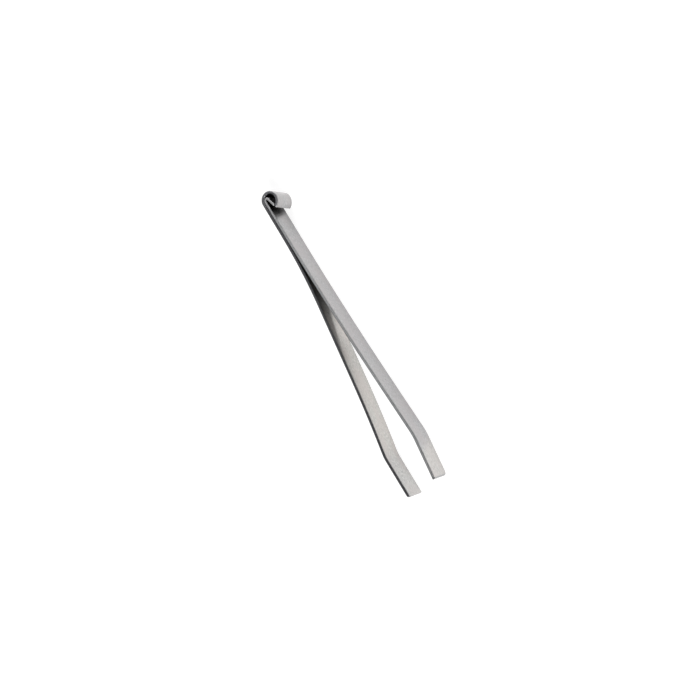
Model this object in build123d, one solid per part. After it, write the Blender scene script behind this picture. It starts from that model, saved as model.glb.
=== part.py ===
from build123d import *
import math
import os

# Stamp tongs: two flat spring-steel strips, locked together at one end, that close when they are pinched.
# The tongs lie on the long edges of their strips. +X runs along them towards the curled head, Y is the way
# that they open, and +Z is up, across the width of the strips. Millimetres and degrees.

# The strip that both arms are cut from
STRIP_WIDTH = 10.0
STRIP_THICKNESS = 1.0

# The head. The two strips lie flat on each other here, and the rear one is rolled forwards into a curl.
FLAT_LENGTH = 13.2
CURL_INNER_RADIUS = 2.2
CURL_TURN = 180.0
LIP_INNER_RADIUS = 2.8
LIP_TURN = 70.0

# The front strip follows the inside of the curl, is folded back on itself, and ends behind the curl's lip.
HOOK_LEAD_TURN = 30.0
HOOK_FOLD_INNER_RADIUS = 0.1
HOOK_FOLD_TURN = 134.5
HOOK_TAB_LENGTH = 3.2

# Each arm past the flat, as legs along its inner face: how long, and how far the leg turns outwards.
REAR_LEGS = {
    "flare": (27.5, 7.3),
    "shank": (27.5, 0.0),
    "bow": (27.1, 3.2),
    "knee": (2.4, -11.0),
    "tip": (14.1, 0.0),
}
FRONT_LEGS = {
    "flare": (54.0, 2.45),
    "shank": (25.8, 0.4),
    "knee": (4.0, -9.6),
    "tip": (13.8, 0.0),
}

# Each arm bends as if it were hinged here, on its inner face, this far along its flare.
FLEX_DISTANCE = 20.0

# The tips are cut square. Their top and bottom corners are eased, and their outer end edge is bevelled.
REAR_TIP_CORNERS = (0.6, 0.25)
FRONT_TIP_CORNERS = (0.15, 1.4)
TIP_BEVEL_LENGTH = 0.5
TIP_BEVEL_DEPTH = 0.35

# A heading of 0 points at the head. The rear arm opens towards +Y and the front arm towards -Y.
HEADING_TO_TIPS = 180.0
REAR = 1
FRONT = -1


def direction(heading):
    """The unit vector that points along a heading, in degrees from +X towards +Y."""
    return Vector(math.cos(math.radians(heading)), math.sin(math.radians(heading)))


def advance(point, heading, length, turn):
    """Where a leg of this length ends, and its heading there, if it turns evenly by turn degrees."""
    half_turn = math.radians(turn) / 2
    chord = length if turn == 0 else length * math.sin(half_turn) / half_turn
    return point + direction(heading + turn / 2) * chord, heading + turn


def walk(point, heading, legs):
    """The places along the legs: one list per leg, with its start, middle and end."""
    places = []
    for length, turn in legs:
        middle = advance(point, heading, length / 2, turn / 2)
        end = advance(point, heading, length, turn)
        places.append([(point, heading), middle, end])
        point, heading = end
    return places


def face_edges(places, offset):
    """The edges of the line that runs at this offset to the left of the places."""
    edges = []
    for leg in places:
        points = [point + direction(heading + 90) * offset for point, heading in leg]
        is_straight = leg[0][1] == leg[2][1]
        edges.append(Line(points[0], points[2]) if is_straight else ThreePointArc(*points))
    return edges


def bent_strip(point, heading, legs, thickness_side):
    """A strip whose one face follows the legs, with its thickness on the left (1) or right (-1) of them."""
    places = walk(point, heading, legs)
    near_face = face_edges(places, 0.0)
    far_face = face_edges(places, thickness_side * STRIP_THICKNESS)
    start_cut = Line(near_face[0] @ 0, far_face[0] @ 0)
    end_cut = Line(near_face[-1] @ 1, far_face[-1] @ 1)
    outline = Wire(near_face + [end_cut] + far_face + [start_cut])
    return extrude(make_face(outline), amount=STRIP_WIDTH, dir=(0, 0, 1))


def arm_legs(arm, side):
    """An arm's legs, with the sign that turns them outwards on this side."""
    return [(length, -side * turn) for length, turn in arm.values()]


def flex_place(arm, side):
    """The place and heading of the arm's bending point, and the part of its flare before it."""
    flare_length, flare_turn = arm["flare"]
    near_turn = -side * flare_turn * FLEX_DISTANCE / flare_length
    near_legs = [(FLAT_LENGTH, 0.0), (FLEX_DISTANCE, near_turn)]
    return walk(Vector(0, 0), HEADING_TO_TIPS, near_legs)[-1][-1], near_turn


def tip_place(arm, side):
    """The place and heading of the inner face's end at the tip."""
    legs = [(FLAT_LENGTH, 0.0)] + arm_legs(arm, side)
    return walk(Vector(0, 0), HEADING_TO_TIPS, legs)[-1][-1]


def head(arm, side, end_legs):
    """The part of an arm that doesn't move: from its bending point to the end of its curl or hook."""
    (point, heading), near_turn = flex_place(arm, side)
    legs = [(FLEX_DISTANCE, -near_turn), (FLAT_LENGTH, 0.0)] + end_legs
    return bent_strip(point, heading - HEADING_TO_TIPS, legs, side)


def tip_cuts(place, side, corner_radii):
    """What is taken off a square tip: its top and bottom corners, and its outer end edge."""
    point, heading = place
    along = direction(heading)
    inner_face = Plane(origin=point, x_dir=along, z_dir=along.cross(Vector(0, 0, 1)))
    cuts = []
    for radius, level, up in zip(corner_radii, (STRIP_WIDTH, 0.0), (1, -1)):
        centre = Pos(-radius, level - up * radius)
        corner = centre * Pos(radius / 2, up * radius / 2) * Rectangle(radius, radius)
        cuts.append(extrude(inner_face * (corner - centre * Circle(radius)), amount=side * STRIP_THICKNESS))
    outwards = inner_face.z_dir * side
    edge = point + outwards * STRIP_THICKNESS
    bevel = Polyline(edge, edge - along * TIP_BEVEL_LENGTH, edge - outwards * TIP_BEVEL_DEPTH, close=True)
    cuts.append(extrude(make_face(bevel), amount=STRIP_WIDTH, dir=(0, 0, 1)))
    return cuts


def blade(arm, side, corner_radii):
    """The part of an arm that moves: from its bending point to its tip."""
    (point, heading), near_turn = flex_place(arm, side)
    legs = arm_legs(arm, side)
    flare_length, flare_turn = legs[0]
    legs[0] = (flare_length - FLEX_DISTANCE, flare_turn - near_turn)
    strip = bent_strip(point, heading, legs, -side)
    return strip - tip_cuts(tip_place(arm, side), side, corner_radii)


def arc_length(radius, turn):
    return radius * math.radians(turn)


curl_legs = [
    (arc_length(CURL_INNER_RADIUS, CURL_TURN), -CURL_TURN),
    (arc_length(LIP_INNER_RADIUS, LIP_TURN), -LIP_TURN),
]
# The hook's outside is the strip's inner face, which is the face that the legs follow.
hook_legs = [
    (arc_length(CURL_INNER_RADIUS, HOOK_LEAD_TURN), -HOOK_LEAD_TURN),
    (arc_length(HOOK_FOLD_INNER_RADIUS + STRIP_THICKNESS, HOOK_FOLD_TURN), -HOOK_FOLD_TURN),
    (HOOK_TAB_LENGTH, 0.0),
]

nodes = {
    "rear_arm_head": head(REAR_LEGS, REAR, curl_legs),
    "rear_arm_blade": blade(REAR_LEGS, REAR, REAR_TIP_CORNERS),
    "front_arm_head": head(FRONT_LEGS, FRONT, hook_legs),
    "front_arm_blade": blade(FRONT_LEGS, FRONT, FRONT_TIP_CORNERS),
}

# The origin is at the middle of the whole object's box, at its lowest level.
box = Compound(list(nodes.values())).bounding_box()
to_origin = Pos(-box.center().X, -box.center().Y, -box.min.Z)

os.makedirs("parts", exist_ok=True)
for name, solid in nodes.items():
    placed = to_origin * solid
    placed.label = name
    export_step(placed, f"parts/{name}.step")

print("size", box.size)
print("curl centre", to_origin.position + Vector(0, -CURL_INNER_RADIUS))
for name, arm, side in (("rear", REAR_LEGS, REAR), ("front", FRONT_LEGS, FRONT)):
    (pivot, _), _ = flex_place(arm, side)
    tip, tip_heading = tip_place(arm, side)
    print(name, "pivot", pivot + to_origin.position, "tip", tip + to_origin.position, "heading", tip_heading)
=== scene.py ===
import math
from typing import NamedTuple

import bmesh
import bpy
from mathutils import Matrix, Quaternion, Vector


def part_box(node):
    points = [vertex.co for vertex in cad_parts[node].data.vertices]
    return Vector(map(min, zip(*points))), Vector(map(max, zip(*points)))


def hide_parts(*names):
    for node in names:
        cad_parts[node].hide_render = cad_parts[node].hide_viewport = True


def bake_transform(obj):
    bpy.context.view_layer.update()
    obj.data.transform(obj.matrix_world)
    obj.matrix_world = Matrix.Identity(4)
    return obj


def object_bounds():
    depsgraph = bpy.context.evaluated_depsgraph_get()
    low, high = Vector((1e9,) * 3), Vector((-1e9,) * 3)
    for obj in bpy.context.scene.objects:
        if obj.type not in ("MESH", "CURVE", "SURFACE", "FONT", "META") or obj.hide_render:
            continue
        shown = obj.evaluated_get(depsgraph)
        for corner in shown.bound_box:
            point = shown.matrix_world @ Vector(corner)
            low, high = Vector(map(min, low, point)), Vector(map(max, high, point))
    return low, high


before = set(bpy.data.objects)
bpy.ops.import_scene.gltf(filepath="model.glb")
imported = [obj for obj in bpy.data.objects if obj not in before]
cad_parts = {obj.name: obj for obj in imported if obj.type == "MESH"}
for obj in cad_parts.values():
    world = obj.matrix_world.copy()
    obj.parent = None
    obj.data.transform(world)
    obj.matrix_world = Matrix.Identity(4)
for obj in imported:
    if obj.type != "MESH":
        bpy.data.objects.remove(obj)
cad_low, cad_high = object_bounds()

# ---------------------------------------------------------------------------------------------------------
# Rear arm: one strip of stainless spring steel, sheared from rolled sheet and tumbled until it is satin.
# Its head is rolled forwards on a mandrel into an open curl, its blade is bowed outwards, and the last
# stretch is bent back inwards for the tip, which is cut square and eased on a belt.
# ---------------------------------------------------------------------------------------------------------

MM = 0.001
REAR_SIDE = 1
STRIP_THICKNESS = 1.0 * MM

# Shearing leaves sharp corners, and tumbling rounds them and takes this much off every surface.
TUMBLED_AWAY = 0.01 * MM
LONG_CORNER_ROUNDING = 0.22 * MM
END_CORNER_ROUNDING = 0.12 * MM

head_low, head_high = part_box("rear_arm_head")
_, tucked_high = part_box("front_arm_head")
strip_bottom = head_low.z + TUMBLED_AWAY
strip_top = head_high.z - TUMBLED_AWAY

# Each leg runs along the strip's inner face: its length, and how far it turns outwards in degrees.
FLAT_LEG = (13.2 * MM, 0.0)
rear_legs = [
    FLAT_LEG,
    (27.5 * MM, 7.3),  # flare
    (27.5 * MM, 0.0),  # shank
    (27.1 * MM, 3.2),  # bow
    (2.4 * MM, -11.0),  # knee
    (14.1 * MM, 0.0),  # tip
]

# The curl turns clockwise from the flat, and its last stretch, the lip, is looser.
CURL_RADIUS = 2.2 * MM
LIP_RADIUS = 2.8 * MM
curl_legs = [(CURL_RADIUS * math.radians(180), -180.0), (LIP_RADIUS * math.radians(70), -70.0)]

# Where the curl leaves the flat, on the face that the two strips share. The origin is at the middle of the
# tongs, so the curl reaches as far one way as the tips do the other.
curl_root = Vector((-cad_low.x - CURL_RADIUS - STRIP_THICKNESS, tucked_high.y))

# How an end is cut: the radii of its top and bottom corners, and the bevel on its outer edge. The ends of
# the curl and of the hook are left as sheared, with no bevel.
rear_tip_cut = {"top": 0.6 * MM, "bottom": 0.25 * MM, "bevel_length": 0.5 * MM, "bevel_depth": 0.35 * MM}
sheared_cut = {"top": 0.15 * MM, "bottom": 0.15 * MM, "bevel_length": 0.1 * MM, "bevel_depth": 0.0}


def unit(heading):
    """The direction of a heading, in degrees from +X towards +Y."""
    return Vector((math.cos(math.radians(heading)), math.sin(math.radians(heading))))


def follow(point, heading, legs, spacing):
    """Stations along the legs, each a distance, a place and a heading, closer together in the bends."""
    turn_per_step = 4.0
    stations = [(0.0, point.copy(), heading)]
    distance = 0.0
    for length, turn in legs:
        steps = max(2, math.ceil(length / spacing), math.ceil(abs(turn) / turn_per_step))
        half_turn = math.radians(turn) / steps / 2
        chord = length / steps * (math.sin(half_turn) / half_turn if turn else 1.0)
        for _ in range(steps):
            point = point + unit(heading + turn / steps / 2) * chord
            heading += turn / steps
            distance += length / steps
            stations.append((distance, point.copy(), heading))
    return stations


def cut_distances(cut):
    """How far from its end a cut needs stations: just short of and past the foot of its bevel, and round
    each of its corners."""
    distances = [cut["bevel_length"] * share for share in (0.97, 1.03)]
    for radius in (END_CORNER_ROUNDING, cut["top"], cut["bottom"]):
        distances += [radius * (1 - math.cos(math.radians(angle))) for angle in range(15, 91, 15)]
    return distances


def insert_stations(stations, distances):
    """The stations, with more between them at these distances where none is near."""
    apart = 0.006 * MM
    for wanted in distances:
        if min(abs(wanted - station[0]) for station in stations) < apart:
            continue
        after = next(i for i, station in enumerate(stations) if station[0] > wanted)
        (d0, p0, h0), (d1, p1, h1) = stations[after - 1], stations[after]
        share = (wanted - d0) / (d1 - d0)
        stations.insert(after, (wanted, p0.lerp(p1, share), h0 + (h1 - h0) * share))
    return stations


def arm_stations(legs, end_legs, side, cuts):
    """An arm's stations, from the tip to the end of its curl or hook."""
    blade_spacing, head_spacing = 0.8 * MM, 0.4 * MM
    outwards = [(length, -side * turn) for length, turn in legs]
    tip_length, tip_turn = outwards.pop()
    to_tip = follow(curl_root, 180.0, outwards + [(tip_length - TUMBLED_AWAY, tip_turn)], blade_spacing)
    arm_length = to_tip[-1][0]
    to_end = follow(curl_root, 0.0, end_legs, head_spacing)
    stations = [(arm_length - run, place, heading - 180.0) for run, place, heading in reversed(to_tip)]
    stations += [(arm_length + run, place, heading) for run, place, heading in to_end[1:]]
    full_length = stations[-1][0]
    distances = cut_distances(cuts[0]) + [full_length - distance for distance in cut_distances(cuts[1])]
    return insert_stations(stations, distances)


def strip_section(depth, low, high, rounding):
    """The strip's section as (through, up) points, from the foot of its inner face, up it and round.
    It also gives which points are the ridges of the four long corners."""
    support = 0.1 * MM
    face_rows, corner_steps = 12, 4
    foot, brow = low + rounding, high - rounding
    rows = [foot + support + (brow - foot - 2 * support) * i / face_rows for i in range(face_rows + 1)]
    rows = [foot] + rows + [brow]
    points, ridges = [(0.0, up) for up in rows], []

    def turn_corner(through, up, start):
        for i in range(1, corner_steps):
            if i == corner_steps // 2:
                ridges.append(len(points))
            angle = math.radians(start - 90.0 * i / corner_steps)
            points.append((through + rounding * math.cos(angle), up + rounding * math.sin(angle)))

    across = [rounding, depth / 2, depth - rounding]
    turn_corner(rounding, brow, 180)
    points += [(through, high) for through in across]
    turn_corner(depth - rounding, brow, 90)
    points += [(depth, up) for up in reversed(rows)]
    turn_corner(depth - rounding, foot, 0)
    points += [(through, low) for through in reversed(across)]
    turn_corner(rounding, foot, -90)
    return points, ridges


def stand_back(distance, radius):
    """How far a rounded corner of this radius stands back, this far from its end."""
    if distance >= radius:
        return 0.0
    return radius - math.sqrt(radius**2 - (radius - max(distance, 0.0)) ** 2)


def section_limits(distance, full_length, cuts):
    """The section's limits at this distance from the tip: its bottom and top, inner face and outer face."""
    low, high, inner, outer = strip_bottom, strip_top, TUMBLED_AWAY, STRIP_THICKNESS - TUMBLED_AWAY
    for from_end, cut in ((distance, cuts[0]), (full_length - distance, cuts[1])):
        rounded = stand_back(from_end, END_CORNER_ROUNDING)
        high -= stand_back(from_end, cut["top"]) + rounded
        low += stand_back(from_end, cut["bottom"]) + rounded
        outer -= rounded + cut["bevel_depth"] * max(0.0, 1 - from_end / cut["bevel_length"])
        inner += rounded
    return low, high, inner, outer


def make_strip(name, stations, side, cuts):
    """A closed strip along the stations, with its thickness on one side of them and a cut at each end.
    The map strip_run holds how far each place is from the tip, and how far round the section it is from the
    foot of the inner face. Each point holds its distance from a long corner, whether it is on a sheared
    edge, and its depth through the strip, from 0 on the inner face to 1 on the outer one."""
    full_length = stations[-1][0]
    # Where the end cuts make the section small, the rounding takes at most this share of it.
    most_rounding = 0.45
    work = bmesh.new()
    run_map = work.loops.layers.uv.new("strip_run")
    corner_layer = work.verts.layers.float.new("from_corner")
    edge_layer = work.verts.layers.float.new("on_sheared_edge")
    depth_layer = work.verts.layers.float.new("depth_through")

    def add_ring(place, heading, low, high, inner, outer):
        rounding = min(LONG_CORNER_ROUNDING, (outer - inner) * most_rounding, (high - low) * most_rounding)
        away = unit(heading + 90) * side
        points, ridges = strip_section(outer - inner, low, high, rounding)
        steps = [math.dist(points[i - 1], points[i]) for i in range(1, len(points))]
        around = [sum(steps[:i]) for i in range(len(points))]
        total = around[-1] + math.dist(points[-1], points[0])
        ring = []
        for i, (through, up) in enumerate(points):
            flat = place + away * (through + inner)
            vert = work.verts.new((flat.x, flat.y, up))
            gaps = [abs(around[i] - around[ridge]) for ridge in ridges]
            vert[corner_layer] = min(min(gap, total - gap) for gap in gaps)
            vert[edge_layer] = 1.0 if ridges[0] < i < ridges[1] or ridges[2] < i < ridges[3] else 0.0
            vert[depth_layer] = through / (outer - inner)
            ring.append(vert)
        return ring, around + [total]

    rings = []
    for distance, place, heading in stations:
        limits = section_limits(distance, full_length, cuts)
        rings.append((distance, *add_ring(place, heading, *limits)))
    for (run, ring, around), (next_run, next_ring, _) in zip(rings, rings[1:]):
        for i in range(len(ring)):
            j = (i + 1) % len(ring)
            face = work.faces.new((ring[i], ring[j], next_ring[j], next_ring[i]))
            start, end = around[i], around[i + 1]
            places = ((run, start), (run, end), (next_run, end), (next_run, start))
            for loop, place in zip(face.loops, places):
                loop[run_map].uv = place
    for run, ring, _ in (rings[0], rings[-1]):
        cap = work.faces.new(ring)
        for loop in cap.loops:
            loop[run_map].uv = (run + loop.vert.co.z, loop.vert.co.y)
    bmesh.ops.recalc_face_normals(work, faces=work.faces)
    for face in work.faces:
        face.smooth = True
    mesh = bpy.data.meshes.new(name)
    work.to_mesh(mesh)
    work.free()
    piece = bpy.data.objects.new(name, mesh)
    bpy.context.scene.collection.objects.link(piece)
    return piece


rear_cuts = (rear_tip_cut, sheared_cut)
rear_stations = arm_stations(rear_legs, curl_legs, REAR_SIDE, rear_cuts)
rear_arm = make_strip("rear_arm", rear_stations, REAR_SIDE, rear_cuts)


def new_group(name, inputs, outputs):
    """An empty node group. Its inputs are (name, type, value), and its outputs are the names of numbers."""
    group = bpy.data.node_groups.new(name, "ShaderNodeTree")
    for socket_name, kind, value in inputs:
        socket = group.interface.new_socket(socket_name, in_out="INPUT", socket_type=f"NodeSocket{kind}")
        if value is not None:
            socket.default_value = value
    for socket_name in outputs:
        group.interface.new_socket(socket_name, in_out="OUTPUT", socket_type="NodeSocketFloat")
    return group, group.nodes.new("NodeGroupInput"), group.nodes.new("NodeGroupOutput")


def put(tree, socket, value):
    """Sets a socket to a number, a vector or a colour, or links another socket to it."""
    if isinstance(value, bpy.types.NodeSocket):
        tree.links.new(value, socket)
    else:
        socket.default_value = value


def math_node(tree, operation, *values):
    """An operation on numbers or sockets."""
    node = tree.nodes.new("ShaderNodeMath")
    node.operation = operation
    for socket, value in zip(node.inputs, values):
        put(tree, socket, value)
    return node.outputs[0]


def ramp_node(tree, value, low, high, to_low=0.0, to_high=1.0):
    """Maps low..high smoothly to to_low..to_high."""
    node = tree.nodes.new("ShaderNodeMapRange")
    node.interpolation_type = "SMOOTHSTEP"
    entries = {"Value": value, "From Min": low, "From Max": high, "To Min": to_low, "To Max": to_high}
    for socket, entry in entries.items():
        put(tree, node.inputs[socket], entry)
    return node.outputs["Result"]


def mix_node(tree, share, first, second, blend="MIX"):
    """Two colours mixed, where each is a socket or its red, green and blue."""
    node = tree.nodes.new("ShaderNodeMix")
    node.data_type = "RGBA"
    node.blend_type = blend
    put(tree, node.inputs["Factor"], share)
    for socket, colour in ((node.inputs["A"], first), (node.inputs["B"], second)):
        put(tree, socket, colour if isinstance(colour, bpy.types.NodeSocket) else (*colour, 1.0))
    return node.outputs["Result"]


def group_node(tree, group, **values):
    """The outputs of a group that is placed in this tree, with its inputs set."""
    node = tree.nodes.new("ShaderNodeGroup")
    node.node_tree = group
    for socket, value in values.items():
        put(tree, node.inputs[socket], value)
    return node.outputs


def noise_node(tree, vector, scale, turn=0.0, shift=0.0, detail=3.0, roughness=0.55):
    """Noise on the strip's run. scale is its cells per metre along and across, and shift is in cells."""
    mapping = tree.nodes.new("ShaderNodeMapping")
    mapping.inputs["Scale"].default_value = (*scale, 1.0)
    mapping.inputs["Rotation"].default_value = (0.0, 0.0, math.radians(turn))
    mapping.inputs["Location"].default_value = (shift, shift * 0.7, 0.0)
    put(tree, mapping.inputs["Vector"], vector)
    noise = tree.nodes.new("ShaderNodeTexNoise")
    noise.inputs["Scale"].default_value = 1.0
    noise.inputs["Detail"].default_value = detail
    noise.inputs["Roughness"].default_value = roughness
    put(tree, noise.inputs["Vector"], mapping.outputs["Vector"])
    return noise.outputs["Fac"]


def rolled_grain_group():
    """What rolling and tumbling leave: fine lines along the strip, a mottle, wide clouds and tiny pits."""
    outputs = ("Lines", "Mottle", "Clouds", "Pits")
    group, entry, leave = new_group("rolled_grain", [("Vector", "Vector", None)], outputs)
    vector = entry.outputs["Vector"]
    grain = {
        "Lines": noise_node(group, vector, (180, 6500), detail=4.0, roughness=0.65),
        "Mottle": noise_node(group, vector, (1100, 2000), turn=12, shift=3.1, detail=4.0),
        "Clouds": noise_node(group, vector, (95, 210), shift=7.7, detail=2.0),
        "Pits": noise_node(group, vector, (3800, 3800), shift=1.3, detail=2.0),
    }
    for name, noise in grain.items():
        put(group, leave.inputs[name], noise)
    return group


def scuffs_group():
    """Short thin scratches, slanted both ways, in patches where the tongs have been handled."""
    inputs = [("Vector", "Vector", None), ("Amount", "Float", 1.0)]
    group, entry, leave = new_group("scuffs", inputs, ("Mask",))
    vector = entry.outputs["Vector"]
    leftwards = noise_node(group, vector, (420, 7400), turn=24, shift=5.3, detail=1.0)
    rightwards = noise_node(group, vector, (380, 6900), turn=-31, shift=8.9, detail=1.0)
    handled = noise_node(group, vector, (110, 260), shift=2.2, detail=2.0)
    first = ramp_node(group, leftwards, 0.66, 0.74)
    second = ramp_node(group, rightwards, 0.67, 0.75)
    patches = ramp_node(group, handled, 0.42, 0.62)
    scratches = math_node(group, "MULTIPLY", math_node(group, "MAXIMUM", first, second), patches)
    put(group, leave.inputs["Mask"], math_node(group, "MULTIPLY", scratches, entry.outputs["Amount"]))
    return group


def corner_band_group():
    """A band along the long corners, of uneven width: 1 on the corner itself, and 0 beyond the width."""
    inputs = [("Distance", "Float", 0.0), ("Vector", "Vector", None), ("Width", "Float", 0.4 * MM)]
    group, entry, leave = new_group("corner_band", inputs, ("Mask",))
    uneven = noise_node(group, entry.outputs["Vector"], (900, 500), shift=4.4, detail=3.0)
    reach = math_node(group, "MULTIPLY", entry.outputs["Width"], math_node(group, "ADD", uneven, 0.5))
    put(group, leave.inputs["Mask"], ramp_node(group, entry.outputs["Distance"], 0.0, reach, 1.0, 0.0))
    return group


rolled_grain = rolled_grain_group()
scuffs = scuffs_group()
corner_band = corner_band_group()

# A painted shade darkens a band beside the long corners, and handling polishes the corners themselves.
CORNER_SHADE_COLOUR = (0.05, 0.05, 0.055)
CORNER_SHADE_WIDTH = 0.9 * MM
POLISHED_STEEL = (0.8, 0.79, 0.78)

# How strong the scuffs are, and how deep the grain is at its full relief.
SCUFFING = 0.5
GRAIN_DEPTH = 0.02 * MM

NO_CHANGE = (1.0, 1.0, 1.0)


class PaintedLight(NamedTuple):
    """Painted light and shade along the run: the colour's multipliers before its start and after its end.
    lean is how far it moves towards the head for each metre round the section."""

    start: float
    end: float
    before: tuple = NO_CHANGE
    after: tuple = NO_CHANGE
    lean: float = 0.0


def steel_finish(
    name, light, dark, warm, roughness, corner_shade=0.25, polish=0.25, relief=0.5, shift=0.0, painted_lights=()
):
    """Satin stainless steel. light and dark are the ends of its mottle, and warm tints its wide clouds.
    The argument after roughness darkens a painted shade by the long corners; polish brightens and smooths
    them.
    relief is how deep its grain is, and shift moves the pattern, so that no two finishes look the same."""
    finish = bpy.data.materials.new(name)
    finish.use_nodes = True
    tree = finish.node_tree
    shader = tree.nodes["Principled BSDF"]
    shader.inputs["Metallic"].default_value = 1.0

    run = tree.nodes.new("ShaderNodeUVMap")
    run.uv_map = "strip_run"
    moved = tree.nodes.new("ShaderNodeVectorMath")
    moved.inputs[1].default_value = (shift, shift * 0.37, 0.0)
    put(tree, moved.inputs[0], run.outputs["UV"])
    vector = moved.outputs[0]
    from_corner = tree.nodes.new("ShaderNodeAttribute")
    from_corner.attribute_name = "from_corner"
    place = tree.nodes.new("ShaderNodeSeparateXYZ")
    put(tree, place.inputs["Vector"], run.outputs["UV"])

    grain = group_node(tree, rolled_grain, Vector=vector)
    marks = group_node(tree, scuffs, Vector=vector, Amount=SCUFFING)["Mask"]
    corner = {"Vector": vector, "Distance": from_corner.outputs["Fac"]}
    # The first band is painted shade beside the long corners, and the second is the polished corners
    # themselves.
    corner_shade_band = group_node(tree, corner_band, **corner, Width=CORNER_SHADE_WIDTH)["Mask"]
    ridge_band = group_node(tree, corner_band, **corner, Width=LONG_CORNER_ROUNDING)["Mask"]

    # The noises stay mostly between 0.3 and 0.7, so the ramps spread out what lies between.
    mottled = mix_node(tree, ramp_node(tree, grain["Mottle"], 0.34, 0.66), dark, light)
    lined = mix_node(tree, ramp_node(tree, grain["Lines"], 0.35, 0.7, 0.0, 0.4), mottled, light)
    tinted = mix_node(tree, ramp_node(tree, grain["Clouds"], 0.35, 0.65, 0.0, 0.6), lined, warm)
    # Painted shade beside the long corners.
    corner_shaded = mix_node(tree, math_node(tree, "MULTIPLY", corner_shade_band, corner_shade), tinted, CORNER_SHADE_COLOUR)
    scuffed = mix_node(tree, math_node(tree, "MULTIPLY", marks, 0.35), corner_shaded, dark)
    colour = mix_node(tree, math_node(tree, "MULTIPLY", ridge_band, polish), scuffed, POLISHED_STEEL)
    # Each of these paints light and shade along the run, by multiplying the colour.
    for shading in painted_lights:
        leaning = math_node(tree, "MULTIPLY", place.outputs["Y"], shading.lean)
        along = math_node(tree, "SUBTRACT", place.outputs["X"], leaning)
        change = mix_node(tree, ramp_node(tree, along, shading.start, shading.end), shading.before, shading.after)
        colour = mix_node(tree, 1.0, colour, change, blend="MULTIPLY")
    put(tree, shader.inputs["Base Color"], colour)

    # The mottle and the lines vary the roughness, polish lowers it, and scuffs raise it.
    matt = ramp_node(tree, grain["Mottle"], 0.25, 0.75, roughness - 0.05, roughness + 0.06)
    matt = math_node(tree, "ADD", matt, ramp_node(tree, grain["Lines"], 0.3, 0.7, -0.03, 0.04))
    matt = math_node(tree, "SUBTRACT", matt, math_node(tree, "MULTIPLY", ridge_band, 0.12 * polish))
    matt = math_node(tree, "ADD", matt, math_node(tree, "MULTIPLY", marks, 0.1))
    put(tree, shader.inputs["Roughness"], matt)

    # The height of the surface, as shares of the grain's depth. The scuffs are cut into it.
    height = math_node(tree, "MULTIPLY", grain["Lines"], 0.5)
    height = math_node(tree, "ADD", height, math_node(tree, "MULTIPLY", grain["Pits"], 0.6))
    height = math_node(tree, "ADD", height, math_node(tree, "MULTIPLY", grain["Mottle"], 0.4))
    height = math_node(tree, "SUBTRACT", height, math_node(tree, "MULTIPLY", marks, 0.6))
    surface = tree.nodes.new("ShaderNodeBump")
    surface.inputs["Strength"].default_value = relief
    surface.inputs["Distance"].default_value = GRAIN_DEPTH
    put(tree, surface.inputs["Height"], height)
    put(tree, shader.inputs["Normal"], surface.outputs["Normal"])
    return finish


# The order of the finishes on a strip. Only the rear strip has the last.
INNER_FACE, OUTER_FACE, SHEARED_EDGE, CURL_BORE = range(4)


def finish_strip(piece, inner_finish, outer_finish, edge_finish, tip_cut):
    """Each rolled face has its own finish. The sheared edges, end cuts and the tip's bevel share another."""
    for finish in (inner_finish, outer_finish, edge_finish):
        piece.data.materials.append(finish)
    on_edge = piece.data.attributes["on_sheared_edge"].data
    depth = piece.data.attributes["depth_through"].data
    run = piece.data.uv_layers["strip_run"].data
    # The bevel's last faces reach a little past its foot.
    past_bevel = tip_cut["bevel_length"] * 1.05
    for polygon in piece.data.polygons:
        end_cut = len(polygon.vertices) > 4
        sheared = any(on_edge[vertex].value > 0.5 for vertex in polygon.vertices)
        outside = all(depth[vertex].value > 0.5 for vertex in polygon.vertices)
        at_tip = max(run[loop].uv.x for loop in polygon.loop_indices) < past_bevel
        if end_cut or sheared or (outside and at_tip):
            polygon.material_index = SHEARED_EDGE
        else:
            polygon.material_index = OUTER_FACE if outside else INNER_FACE


# Two of the four rolled faces are the same plain grey. Sheared edges are rougher, with more painted shade.
# The rolled faces are one steel; the greys of the two seen faces differ as painted light and shade.
FACE_ROUGHNESS = 0.32
PLAIN_GREY = {"light": (0.515, 0.508, 0.497), "dark": (0.295, 0.296, 0.29), "warm": (0.435, 0.408, 0.394)}
SHEARED = {"roughness": 0.4, "corner_shade": 0.5, "polish": 0.1, "relief": 0.9}

# The run starts at the tip, and the curl starts where the legs end. The inner face has painted shade at the
# tip and deep between the arms, behind a slanted border that is a painted reflection of the front arm, and a
# painted highlight just before it. The outer face and the edge have a painted highlight on the curl.
rear_length = sum(length for length, turn in rear_legs)
rear_inner_finish = steel_finish(
    "rear_arm_inner_face",
    light=(0.575, 0.562, 0.54),
    dark=(0.325, 0.325, 0.312),
    warm=(0.485, 0.447, 0.428),
    roughness=FACE_ROUGHNESS,
    # Painted shade at the tip and between the arms, with a painted highlight before the slanted border.
    painted_lights=(
        PaintedLight(13 * MM, 19 * MM, before=(0.92, 0.93, 0.95)),
        PaintedLight(53 * MM, 63 * MM, after=(1.35, 1.35, 1.35)),
        PaintedLight(81 * MM, 88 * MM, after=(0.41, 0.41, 0.415), lean=-3.5),
        PaintedLight(64 * MM, 74 * MM, after=(0.5, 0.5, 0.5)),
    ),
)
rear_outer_finish = steel_finish(
    "rear_arm_outer_face",
    **PLAIN_GREY,
    roughness=FACE_ROUGHNESS,
    shift=0.11,
    # A painted highlight half-way round the curl, and painted shade on the lip after it.
    painted_lights=(
        PaintedLight(rear_length, rear_length + 2 * MM, after=(1.36, 1.375, 1.42)),
        PaintedLight(rear_length + 4.5 * MM, rear_length + 7 * MM, after=(0.65, 0.65, 0.652)),
    ),
)
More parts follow.
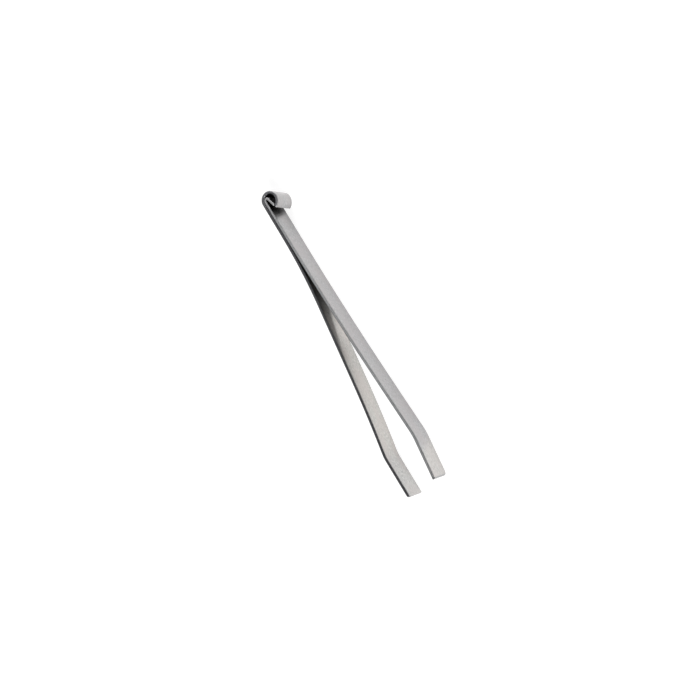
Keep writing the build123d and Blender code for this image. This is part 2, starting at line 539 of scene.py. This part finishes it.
rear_edge_finish = steel_finish(
    "rear_arm_sheared_edge",
    light=(0.158, 0.159, 0.165),
    dark=(0.084, 0.086, 0.092),
    warm=(0.112, 0.112, 0.116),
    **SHEARED,
    shift=0.31,
    # A painted highlight on the rim of the curl.
    painted_lights=(PaintedLight(rear_length - 3 * MM, rear_length + 1 * MM, after=(1.7, 1.7, 1.7)),),
)
finish_strip(rear_arm, rear_inner_finish, rear_outer_finish, rear_edge_finish, rear_tip_cut)

# The inside of the curl is painted near black, standing for the shade that fills it. The painted dark starts
# on the flat, just before the curl.
curl_bore_shade_finish = steel_finish(
    "rear_arm_curl_bore_shade",
    light=(0.08, 0.081, 0.095),
    dark=(0.04, 0.041, 0.052),
    warm=(0.055, 0.055, 0.065),
    roughness=0.45,
    polish=0.0,
    shift=0.19,
)
rear_arm.data.materials.append(curl_bore_shade_finish)
curl_centre = curl_root - Vector((0.0, CURL_RADIUS))
bore_start = curl_root.x - 3 * MM
bore_reach = LIP_RADIUS + 0.3 * MM
for polygon in rear_arm.data.polygons:
    in_curl = polygon.center.x > bore_start and (polygon.center.xy - curl_centre).length < bore_reach
    if in_curl and polygon.material_index == INNER_FACE:
        polygon.material_index = CURL_BORE


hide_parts("rear_arm_head", "rear_arm_blade")
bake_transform(rear_arm)

# ---------------------------------------------------------------------------------------------------------
# Front arm: a second strip of the same steel. Its head runs up inside the curl and is folded back on itself,
# so that its short tab catches behind the curl's lip, and nothing else is needed to hold the arms together.
# Its blade is nearly straight, and its tip is bent inwards to meet the other one.
# ---------------------------------------------------------------------------------------------------------

FRONT_SIDE = -1
FOLD_RADIUS = 1.1 * MM
hook_legs = [
    (CURL_RADIUS * math.radians(30), -30.0),  # along the inside of the curl
    (FOLD_RADIUS * math.radians(134.5), -134.5),  # fold
    (3.2 * MM, 0.0),  # tab
]
front_legs = [
    FLAT_LEG,
    (54.0 * MM, 2.45),  # flare
    (25.8 * MM, 0.4),  # shank
    (4.0 * MM, -9.6),  # knee
    (13.8 * MM, 0.0),  # tip
]
front_tip_cut = {"top": 0.15 * MM, "bottom": 1.4 * MM, "bevel_length": 0.5 * MM, "bevel_depth": 0.35 * MM}
front_cuts = (front_tip_cut, sheared_cut)

front_stations = arm_stations(front_legs, hook_legs, FRONT_SIDE, front_cuts)
front_arm = make_strip("front_arm", front_stations, FRONT_SIDE, front_cuts)
front_inner_finish = steel_finish(
    "front_arm_inner_face", **PLAIN_GREY, roughness=FACE_ROUGHNESS, shift=0.43
)

# The outer face has a painted highlight at the tip, and painted shade under the curl.
front_length = sum(length for length, turn in front_legs)
front_outer_finish = steel_finish(
    "front_arm_outer_face",
    light=(0.44, 0.434, 0.443),
    dark=(0.252, 0.255, 0.256),
    warm=(0.375, 0.352, 0.355),
    roughness=FACE_ROUGHNESS,
    shift=0.73,
    painted_lights=(
        PaintedLight(3.8 * MM, 8.8 * MM, before=(1.25, 1.24, 1.19), lean=0.333),
        PaintedLight(front_length - 11.7 * MM, front_length - 9.2 * MM, after=(0.15, 0.15, 0.15), lean=0.333),
    ),
)

# The sheared edges are light, with painted shade at the very tip: on its end cut and its bevel.
front_edge_finish = steel_finish(
    "front_arm_sheared_edge",
    light=(0.67, 0.67, 0.675),
    dark=(0.42, 0.423, 0.43),
    warm=(0.55, 0.547, 0.542),
    **SHEARED,
    shift=0.57,
    painted_lights=(PaintedLight(0.45 * MM, 0.75 * MM, before=(0.6, 0.6, 0.6)),),
)
finish_strip(front_arm, front_inner_finish, front_outer_finish, front_edge_finish, front_tip_cut)

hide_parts("front_arm_head", "front_arm_blade")
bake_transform(front_arm)

# ---------------------------------------------------------------------------------------------------------
# The table: a wide board painted white and lit from below, as a light table is. The tongs lie on it, on the
# lower edges of their strips, and where it is seen directly it is close to clean white.
# ---------------------------------------------------------------------------------------------------------

TABLE_HALF = 1.5
TABLE_GAP = 0.02 * MM
TABLE_GLOW = 0.45
CLEAN_WHITE_SHARE = 0.65

table_level = cad_low.z - TABLE_GAP
table_mesh = bpy.data.meshes.new("table_top")
table_signs = ((-1, -1), (1, -1), (1, 1), (-1, 1))
table_corners = [(x * TABLE_HALF, y * TABLE_HALF, table_level) for x, y in table_signs]
table_mesh.from_pydata(table_corners, [], [(0, 1, 2, 3)])
table_top = bpy.data.objects.new("table_top", table_mesh)
bpy.context.scene.collection.objects.link(table_top)

table_paint = bpy.data.materials.new("pale_board")
table_paint.use_nodes = True
board = table_paint.node_tree
paint = board.nodes["Principled BSDF"]
paint.inputs["Base Color"].default_value = (0.88, 0.875, 0.865, 1.0)
paint.inputs["Roughness"].default_value = 0.9
paint.inputs["Emission Color"].default_value = (1.0, 1.0, 1.0, 1.0)
paint.inputs["Emission Strength"].default_value = TABLE_GLOW
clean_white = board.nodes.new("ShaderNodeEmission")
light_path = board.nodes.new("ShaderNodeLightPath")
table_look = board.nodes.new("ShaderNodeMixShader")
clean_share = math_node(board, "MULTIPLY", light_path.outputs["Is Camera Ray"], CLEAN_WHITE_SHARE)
put(board, table_look.inputs["Fac"], clean_share)
put(board, table_look.inputs[1], paint.outputs["BSDF"])
put(board, table_look.inputs[2], clean_white.outputs["Emission"])
put(board, board.nodes["Material Output"].inputs["Surface"], table_look.outputs["Shader"])
table_mesh.materials.append(table_paint)

# ---------------------------------------------------------------------------------------------------------
# Light and camera: a plain studio, dim overhead, with three large soft panels. One stands beyond the tips,
# one beyond the head, and a weak one hangs over the back. The camera looks down from close above the tongs.
# ---------------------------------------------------------------------------------------------------------

PANEL_DISTANCE = 1.2
PANEL_SIZE = 0.7


def add_panel(name, direction, power):
    """A square soft panel in this direction from the tongs, facing them."""
    lamp = bpy.data.lights.new(name, "AREA")
    lamp.shape = "SQUARE"
    lamp.size = PANEL_SIZE
    lamp.energy = power
    towards = Vector(direction).normalized()
    holder = bpy.data.objects.new(name, lamp)
    holder.location = towards * PANEL_DISTANCE
    holder.rotation_mode = "QUATERNION"
    holder.rotation_quaternion = (-towards).to_track_quat("-Z", "Y")
    bpy.context.scene.collection.objects.link(holder)


add_panel("tips_panel", (-0.766, 0.0, 0.643), 13.0)
add_panel("head_panel", (0.74, -0.2, 0.643), 6.7)
add_panel("back_panel", (0.3, 0.3, 0.906), 1.6)

# The walls are a little lighter than the ceiling.
WALLS = (0.21, 0.21, 0.21)
CEILING = (0.084, 0.085, 0.091)
studio = bpy.data.worlds.new("studio")
studio.use_nodes = True
room = studio.node_tree
outlook = room.nodes.new("ShaderNodeTexCoord")
split = room.nodes.new("ShaderNodeSeparateXYZ")
put(room, split.inputs["Vector"], outlook.outputs["Generated"])
room_colour = mix_node(room, ramp_node(room, split.outputs["Z"], 0.1, 0.9), WALLS, CEILING)
put(room, room.nodes["Background"].inputs["Color"], room_colour)
bpy.context.scene.world = studio
bpy.context.scene.view_settings.view_transform = "Standard"

CAMERA_AZIMUTH = math.radians(-27.12)
CAMERA_ELEVATION = math.radians(63.22)
CAMERA_ROLL = math.radians(-96.42)
CAMERA_DISTANCE = 422.57 * MM
AIM_FROM_MIDDLE = Vector((-4.21 * MM, 0.44 * MM, 0.0))

aim = (cad_low + cad_high) / 2 + AIM_FROM_MIDDLE
level = math.cos(CAMERA_ELEVATION)
to_camera = Vector(
    (math.sin(CAMERA_AZIMUTH) * level, -math.cos(CAMERA_AZIMUTH) * level, math.sin(CAMERA_ELEVATION))
)
camera_data = bpy.data.cameras.new("camera")
camera_data.sensor_width = 36.0
camera_data.lens = 64.14
camera_data.clip_start = 0.01
camera = bpy.data.objects.new("camera", camera_data)
camera.location = aim + to_camera * CAMERA_DISTANCE
camera.rotation_mode = "QUATERNION"
camera.rotation_quaternion = (-to_camera).to_track_quat("-Z", "Y") @ Quaternion((0, 0, 1), CAMERA_ROLL)
bpy.context.scene.collection.objects.link(camera)
bpy.context.scene.camera = camera
